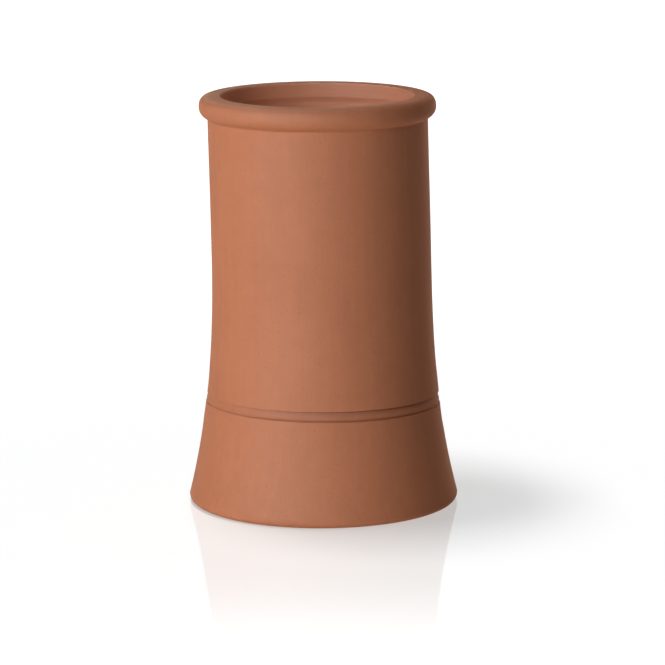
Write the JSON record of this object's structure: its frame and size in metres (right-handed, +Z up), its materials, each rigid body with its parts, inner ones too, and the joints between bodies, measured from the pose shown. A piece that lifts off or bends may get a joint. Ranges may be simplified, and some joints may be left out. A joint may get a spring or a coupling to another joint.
{
  "type": "chimney pot",
  "caption": "Roll-top clay chimney pot: a round barrel with a rolled rim, a quirked bead low down and a flared skirt, open from end to end.",
  "frame": {"origin": "centre of the foot ring's flat underside, on the surface the pot stands on", "axes": "+Z up along the flue, from the foot to the rolled rim; the barrel leans slightly towards -X"},
  "size_m": [0.2966, 0.2966, 0.45],
  "materials": {
    "terracotta": "unglazed, matt"
  },
  "bodies": {
    "root": {"chimney_pot": "terracotta"}
  },
  "joints": []
}
